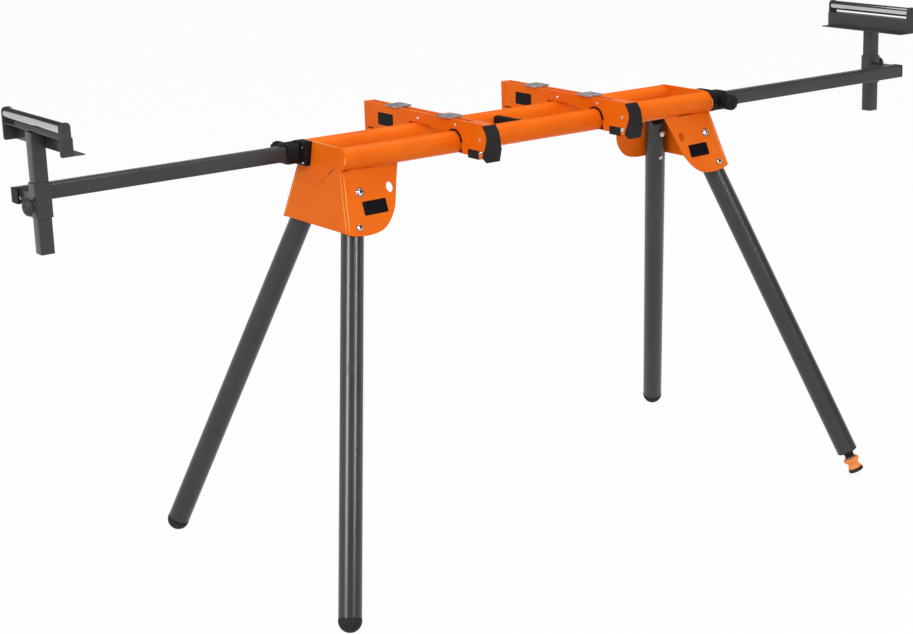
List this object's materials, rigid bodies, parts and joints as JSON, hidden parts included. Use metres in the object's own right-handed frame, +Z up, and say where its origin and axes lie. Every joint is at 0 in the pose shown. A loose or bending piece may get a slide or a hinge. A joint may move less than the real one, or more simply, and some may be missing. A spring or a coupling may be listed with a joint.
{
  "type": "miter saw stand",
  "caption": "Folding stand for a miter saw: round-tube beam on splayed folding legs, sliding clamp brackets for the saw and roller supports on pull-out arms.",
  "frame": {"origin": "on the floor, below the middle of the beam", "axes": "+Z up, +X along the beam, -Y towards the side that the clamp levers face"},
  "size_m": [2.0662, 0.6898, 0.93],
  "materials": {
    "orange_paint": "semi-gloss orange powder coat",
    "charcoal_paint": "semi-gloss charcoal powder coat",
    "black_plastic": "satin moulded black plastic",
    "orange_plastic": "satin moulded orange plastic",
    "black_rubber": "matt black rubber",
    "bright_steel": "bright zinc-plated or brushed steel"
  },
  "bodies": {
    "beam": {"front_beam_tube": "orange_paint", "rear_beam_tube": "orange_paint", "left_hub_bracket": "orange_paint", "right_hub_bracket": "orange_paint", "left_collar": "black_plastic", "right_collar": "black_plastic", "carry_handle": "black_plastic", "left_front_pivot_bolt": "bright_steel", "left_rear_pivot_bolt": "bright_steel", "right_front_pivot_bolt": "bright_steel", "right_rear_pivot_bolt": "bright_steel"},
    "left_arm": {"left_arm": "charcoal_paint", "left_arm_plug": "black_plastic", "left_post_sleeve": "charcoal_paint"},
    "right_arm": {"right_arm": "charcoal_paint", "right_arm_plug": "black_plastic", "right_post_sleeve": "charcoal_paint"},
    "left_arm_knob": {"left_arm_knob": "black_plastic"},
    "right_arm_knob": {"right_arm_knob": "black_plastic"},
    "left_post": {"left_post": "charcoal_paint", "left_head_channel": "charcoal_paint", "left_front_head_cap": "black_plastic", "left_rear_head_cap": "black_plastic", "left_roller_axle": "bright_steel"},
    "right_post": {"right_post": "charcoal_paint", "right_head_channel": "charcoal_paint", "right_front_head_cap": "black_plastic", "right_rear_head_cap": "black_plastic", "right_roller_axle": "bright_steel"},
    "left_roller": {"left_roller": "bright_steel"},
    "right_roller": {"right_roller": "bright_steel"},
    "left_post_knob": {"left_post_knob": "black_plastic"},
    "right_post_knob": {"right_post_knob": "black_plastic"},
    "left_front_leg": {"left_front_leg": "charcoal_paint", "left_front_foot_plug": "black_rubber"},
    "left_rear_leg": {"left_rear_leg": "charcoal_paint", "left_rear_foot_plug": "black_rubber"},
    "right_front_leg": {"right_front_leg": "charcoal_paint", "right_front_foot_insert": "black_plastic"},
    "right_rear_leg": {"right_rear_leg": "charcoal_paint", "right_rear_foot_plug": "black_rubber"},
    "foot_screw": {"right_front_foot_screw": "bright_steel", "right_front_foot_pad": "black_rubber"},
    "foot_wheel": {"right_front_foot_wheel": "orange_plastic"},
    "left_front_button": {"left_front_detent_button": "bright_steel"},
    "left_rear_button": {"left_rear_detent_button": "bright_steel"},
    "right_front_button": {"right_front_detent_button": "bright_steel"},
    "right_rear_button": {"right_rear_detent_button": "bright_steel"},
    "left_bracket": {"left_saw_bracket": "orange_paint", "left_lever_pin": "bright_steel"},
    "right_bracket": {"right_saw_bracket": "orange_paint", "right_lever_pin": "bright_steel"},
    "left_lever": {"left_clamp_lever": "black_plastic"},
    "right_lever": {"right_clamp_lever": "black_plastic"},
    "left_jaw": {"left_clamp_jaw": "black_plastic"},
    "right_jaw": {"right_clamp_jaw": "black_plastic"},
    "left_rear_pad": {"left_rear_saw_pad": "bright_steel"},
    "left_front_pad": {"left_front_saw_pad": "bright_steel"},
    "right_rear_pad": {"right_rear_saw_pad": "bright_steel"},
    "right_front_pad": {"right_front_saw_pad": "bright_steel"}
  },
  "joints": [
    {"name": "left_arm_slide", "type": "slide", "parent": "beam", "child": "left_arm", "axis": [1, 0, 0], "range_m": [0, 0.49]},
    {"name": "right_arm_slide", "type": "slide", "parent": "beam", "child": "right_arm", "axis": [-1, 0, 0], "range_m": [0, 0.49]},
    {"name": "left_arm_knob_turn", "type": "hinge", "parent": "beam", "child": "left_arm_knob", "pos_m": [-0.471, 0.0878, 0.785], "axis": [0, 1, 0], "range_deg": [0, 360]},
    {"name": "right_arm_knob_turn", "type": "hinge", "parent": "beam", "child": "right_arm_knob", "pos_m": [0.471, -0.0878, 0.785], "axis": [0, -1, 0], "range_deg": [0, 360]},
    {"name": "left_post_lift", "type": "slide", "parent": "left_arm", "child": "left_post", "axis": [0, 0, 1], "range_m": [-0.055, 0.083]},
    {"name": "right_post_lift", "type": "slide", "parent": "right_arm", "child": "right_post", "axis": [0, 0, 1], "range_m": [-0.055, 0.083]},
    {"name": "left_roller_spin", "type": "hinge", "parent": "left_post", "child": "left_roller", "pos_m": [-0.99775, 0, 0.919], "axis": [0, 1, 0], "continuous": true},
    {"name": "right_roller_spin", "type": "hinge", "parent": "right_post", "child": "right_roller", "pos_m": [0.99775, 0, 0.919], "axis": [0, 1, 0], "continuous": true},
    {"name": "left_post_knob_turn", "type": "hinge", "parent": "left_arm", "child": "left_post_knob", "pos_m": [-1.0203, 0, 0.7755], "axis": [-1, 0, 0], "range_deg": [0, 360]},
    {"name": "right_post_knob_turn", "type": "hinge", "parent": "right_arm", "child": "right_post_knob", "pos_m": [1.0203, 0, 0.7945], "axis": [1, 0, 0], "range_deg": [0, 360]},
    {"name": "left_front_leg_fold", "type": "hinge", "parent": "beam", "child": "left_front_leg", "pos_m": [-0.4214, -0.0649, 0.7173], "axis": [0.051, -0.9411, 0.3342], "range_deg": [0, 106.7]},
    {"name": "left_rear_leg_fold", "type": "hinge", "parent": "beam", "child": "left_rear_leg", "pos_m": [-0.4214, 0.0649, 0.7173], "axis": [-0.051, -0.9411, -0.3342], "range_deg": [0, 106.7]},
    {"name": "right_front_leg_fold", "type": "hinge", "parent": "beam", "child": "right_front_leg", "pos_m": [0.4214, -0.0649, 0.7173], "axis": [-0.073, 0.9276, -0.3663], "range_deg": [0, 104]},
    {"name": "right_rear_leg_fold", "type": "hinge", "parent": "beam", "child": "right_rear_leg", "pos_m": [0.4214, 0.0649, 0.7173], "axis": [0.073, 0.9276, 0.3663], "range_deg": [0, 104]},
    {"name": "foot_screw_slide", "type": "slide", "parent": "right_front_leg", "child": "foot_screw", "axis": [0.2702, -0.3351, -0.9026], "range_m": [-0.002, 0.009]},
    {"name": "foot_wheel_turn", "type": "hinge", "parent": "foot_screw", "child": "foot_wheel", "pos_m": [0.63212, -0.32631, 0.01327], "axis": [0.2702, -0.3351, -0.9026], "range_deg": [-243, 1083]},
    {"name": "left_front_button_press", "type": "slide", "parent": "beam", "child": "left_front_button", "axis": [-0.051, 0.9411, -0.3342], "range_m": [0, 0.006], "stiffness_N_per_m": 300},
    {"name": "left_rear_button_press", "type": "slide", "parent": "beam", "child": "left_rear_button", "axis": [-0.051, -0.9411, -0.3342], "range_m": [0, 0.006], "stiffness_N_per_m": 300},
    {"name": "right_front_button_press", "type": "slide", "parent": "beam", "child": "right_front_button", "axis": [-0.073, 0.9276, -0.3663], "range_m": [0, 0.006], "stiffness_N_per_m": 300},
    {"name": "right_rear_button_press", "type": "slide", "parent": "beam", "child": "right_rear_button", "axis": [-0.073, -0.9276, -0.3663], "range_m": [0, 0.006], "stiffness_N_per_m": 300},
    {"name": "left_bracket_slide", "type": "slide", "parent": "beam", "child": "left_bracket", "axis": [1, 0, 0], "range_m": [-0.12, 0.12]},
    {"name": "right_bracket_slide", "type": "slide", "parent": "beam", "child": "right_bracket", "axis": [1, 0, 0], "range_m": [-0.1, 0.12]},
    {"name": "left_lever_swing", "type": "hinge", "parent": "left_bracket", "child": "left_lever", "pos_m": [-0.178, -0.1485, 0.774], "axis": [1, 0, 0], "range_deg": [0, 60]},
    {"name": "right_lever_swing", "type": "hinge", "parent": "right_bracket", "child": "right_lever", "pos_m": [0.1645, -0.1485, 0.774], "axis": [1, 0, 0], "range_deg": [0, 60]},
    {"name": "left_jaw_drop", "type": "slide", "parent": "left_bracket", "child": "left_jaw", "axis": [0, 0, -1], "range_m": [0, 0.004]},
    {"name": "right_jaw_drop", "type": "slide", "parent": "right_bracket", "child": "right_jaw", "axis": [0, 0, -1], "range_m": [0, 0.004]},
    {"name": "left_rear_pad_slide", "type": "slide", "parent": "left_bracket", "child": "left_rear_pad", "axis": [0, 1, 0], "range_m": [-0.04, 0.04]},
    {"name": "left_front_pad_slide", "type": "slide", "parent": "left_bracket", "child": "left_front_pad", "axis": [0, 1, 0], "range_m": [-0.04, 0.04]},
    {"name": "right_rear_pad_slide", "type": "slide", "parent": "right_bracket", "child": "right_rear_pad", "axis": [0, 1, 0], "range_m": [-0.04, 0.04]},
    {"name": "right_front_pad_slide", "type": "slide", "parent": "right_bracket", "child": "right_front_pad", "axis": [0, 1, 0], "range_m": [-0.04, 0.04]}
  ],
  "couplings": [
    {"joint": "foot_wheel_turn", "follows": "foot_screw_slide", "rad_per_m": 2094.4},
    {"joint": "left_jaw_drop", "follows": "left_lever_swing", "m_per_rad": 0.0038},
    {"joint": "right_jaw_drop", "follows": "right_lever_swing", "m_per_rad": 0.0038}
  ]
}
